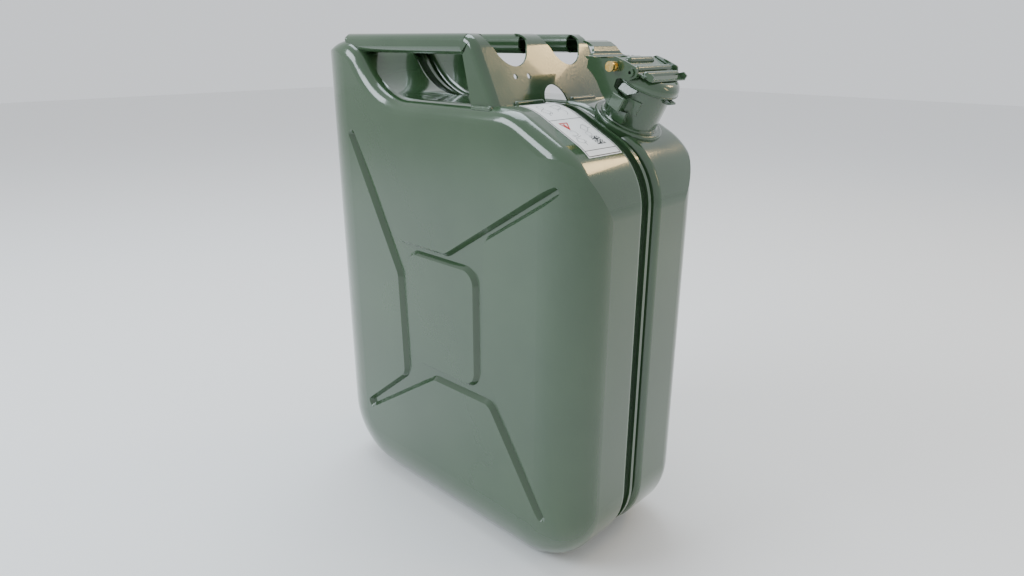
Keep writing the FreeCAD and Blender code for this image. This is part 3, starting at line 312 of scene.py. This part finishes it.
def print_label():
    ink = label_film("label_ink", (0.012, 0.012, 0.015), (0.03, 0.03, 0.035))
    red = label_film("label_red", (0.5, 0.02, 0.02), (0.62, 0.04, 0.03))
    white = label_film("label_white", (0.80, 0.80, 0.79), (0.86, 0.86, 0.85))

    def border(work):
        inset = 1.2
        x = LABEL_HALF_LONG - inset
        y = LABEL_HALF_WIDE - inset
        outline_strokes(work, [(-x, -y), (x, -y), (x, y), (-x, y)], 0.8)
        stroke(work, (LABEL_HALF_LONG - 7.0, -y), (LABEL_HALF_LONG - 7.0, y), 0.6)
        stroke(work, (-8.0, -y), (-8.0, y), 0.6)

    def pictures(work):
        can_sketch(work, (-27, 9), 7.0, 15)
        can_sketch(work, (-21, -9), 6.0, -55)
        ring_strokes(work, (-29, -8), 3.0, 0.3)
        ring_strokes(work, (-18, 8), 4.2, 0.35, (20, 250))
        can_sketch(work, (6, 9), 6.0, 40)
        ring_strokes(work, (14, 6), 2.8, 0.3)
        can_sketch(work, (21, -11), 5.5, -30)
        ring_strokes(work, (11, -9), 3.4, 0.35, (-60, 200))
        outline_strokes(work, [(13.5, -14), (16.5, -10), (15, -5)], 0.4, closed=False)

    def code_patch(work):
        # A made-up square of dots; it follows a simple rule and stands for nothing.
        cells = 11
        pitch = 0.95
        for column in range(cells):
            for row in range(cells):
                if (column * column + 3 * row * column + 5 * row) % 7 in (0, 2, 3, 6):
                    x = 18.0 + column * pitch
                    y = 2.5 + row * pitch
                    place = Matrix.Translation((x, y, 0))
                    bmesh.ops.create_grid(work, x_segments=1, y_segments=1, size=pitch * 0.48,
                                          matrix=place)

    def red_mark(work):
        outline_strokes(work, [(-3, -12), (6, -8.5), (-3, -3)], 1.3)
        stroke(work, (-1, -8.6), (4, -8.3), 2.4)

    film = label_piece("label_sheet", film_sheet, white, FILM_LIFT)
    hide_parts("label_sticker")
    label_piece("label_border", border, ink, PRINT_LIFT)
    label_piece("label_pictures", pictures, ink, PRINT_LIFT)
    label_piece("label_code_patch", code_patch, ink, PRINT_LIFT)
    label_piece("label_red_mark", red_mark, red, PRINT_LIFT)


# ---- stage ------------------------------------------------------------------------

def build_stage():
    work = bmesh.new()
    bmesh.ops.create_grid(work, x_segments=1, y_segments=1, size=6.0)
    mesh = bpy.data.meshes.new("floor")
    work.to_mesh(mesh)
    work.free()
    floor = bpy.data.objects.new("floor", mesh)
    bpy.context.scene.collection.objects.link(floor)
    material, _, shader = new_material("pale_floor")
    shader.inputs["Base Color"].default_value = (0.86, 0.86, 0.86, 1.0)
    shader.inputs["Roughness"].default_value = 0.6
    mesh.materials.append(material)

    world = bpy.data.worlds.new("studio")
    world.use_nodes = True
    background = world.node_tree.nodes["Background"]
    background.inputs["Color"].default_value = (0.93, 0.96, 1.0, 1.0)
    background.inputs["Strength"].default_value = 1.0
    bpy.context.scene.world = world


def area_light(name, place, target, size, power, colour):
    light = bpy.data.lights.new(name, "AREA")
    light.shape = "RECTANGLE"
    light.size = size[0]
    light.size_y = size[1]
    light.energy = power
    light.color = colour
    lamp = bpy.data.objects.new(name, light)
    lamp.location = place
    aim = Vector(target) - Vector(place)
    lamp.rotation_euler = aim.to_track_quat("-Z", "Y").to_euler()
    bpy.context.scene.collection.objects.link(lamp)


def build_lights():
    """Cool light from above and the labelled side, and two small warm lamps beyond the neck."""
    area_light("cool_key", place=(-0.9, -1.6, 1.5), target=(0, 0, 0.25), size=(1.1, 0.9),
               power=30.0, colour=(0.84, 0.93, 1.0))
    area_light("cool_top", place=(-0.5, 0.2, 1.9), target=(0, 0, 0.3), size=(1.2, 0.8),
               power=20.0, colour=(0.80, 0.92, 1.0))
    area_light("warm_side", place=(1.7, 0.9, 1.1), target=(0, 0, 0.3), size=(0.2, 0.6),
               power=3.0, colour=(1.0, 0.74, 0.38))
    area_light("warm_back", place=(0.7, 1.5, 1.5), target=(0.1, 0, 0.4), size=(0.4, 0.25),
               power=5.0, colour=(1.0, 0.72, 0.34))


set_camera()
paint_cad_nodes()
print_label()
build_stage()
build_lights()
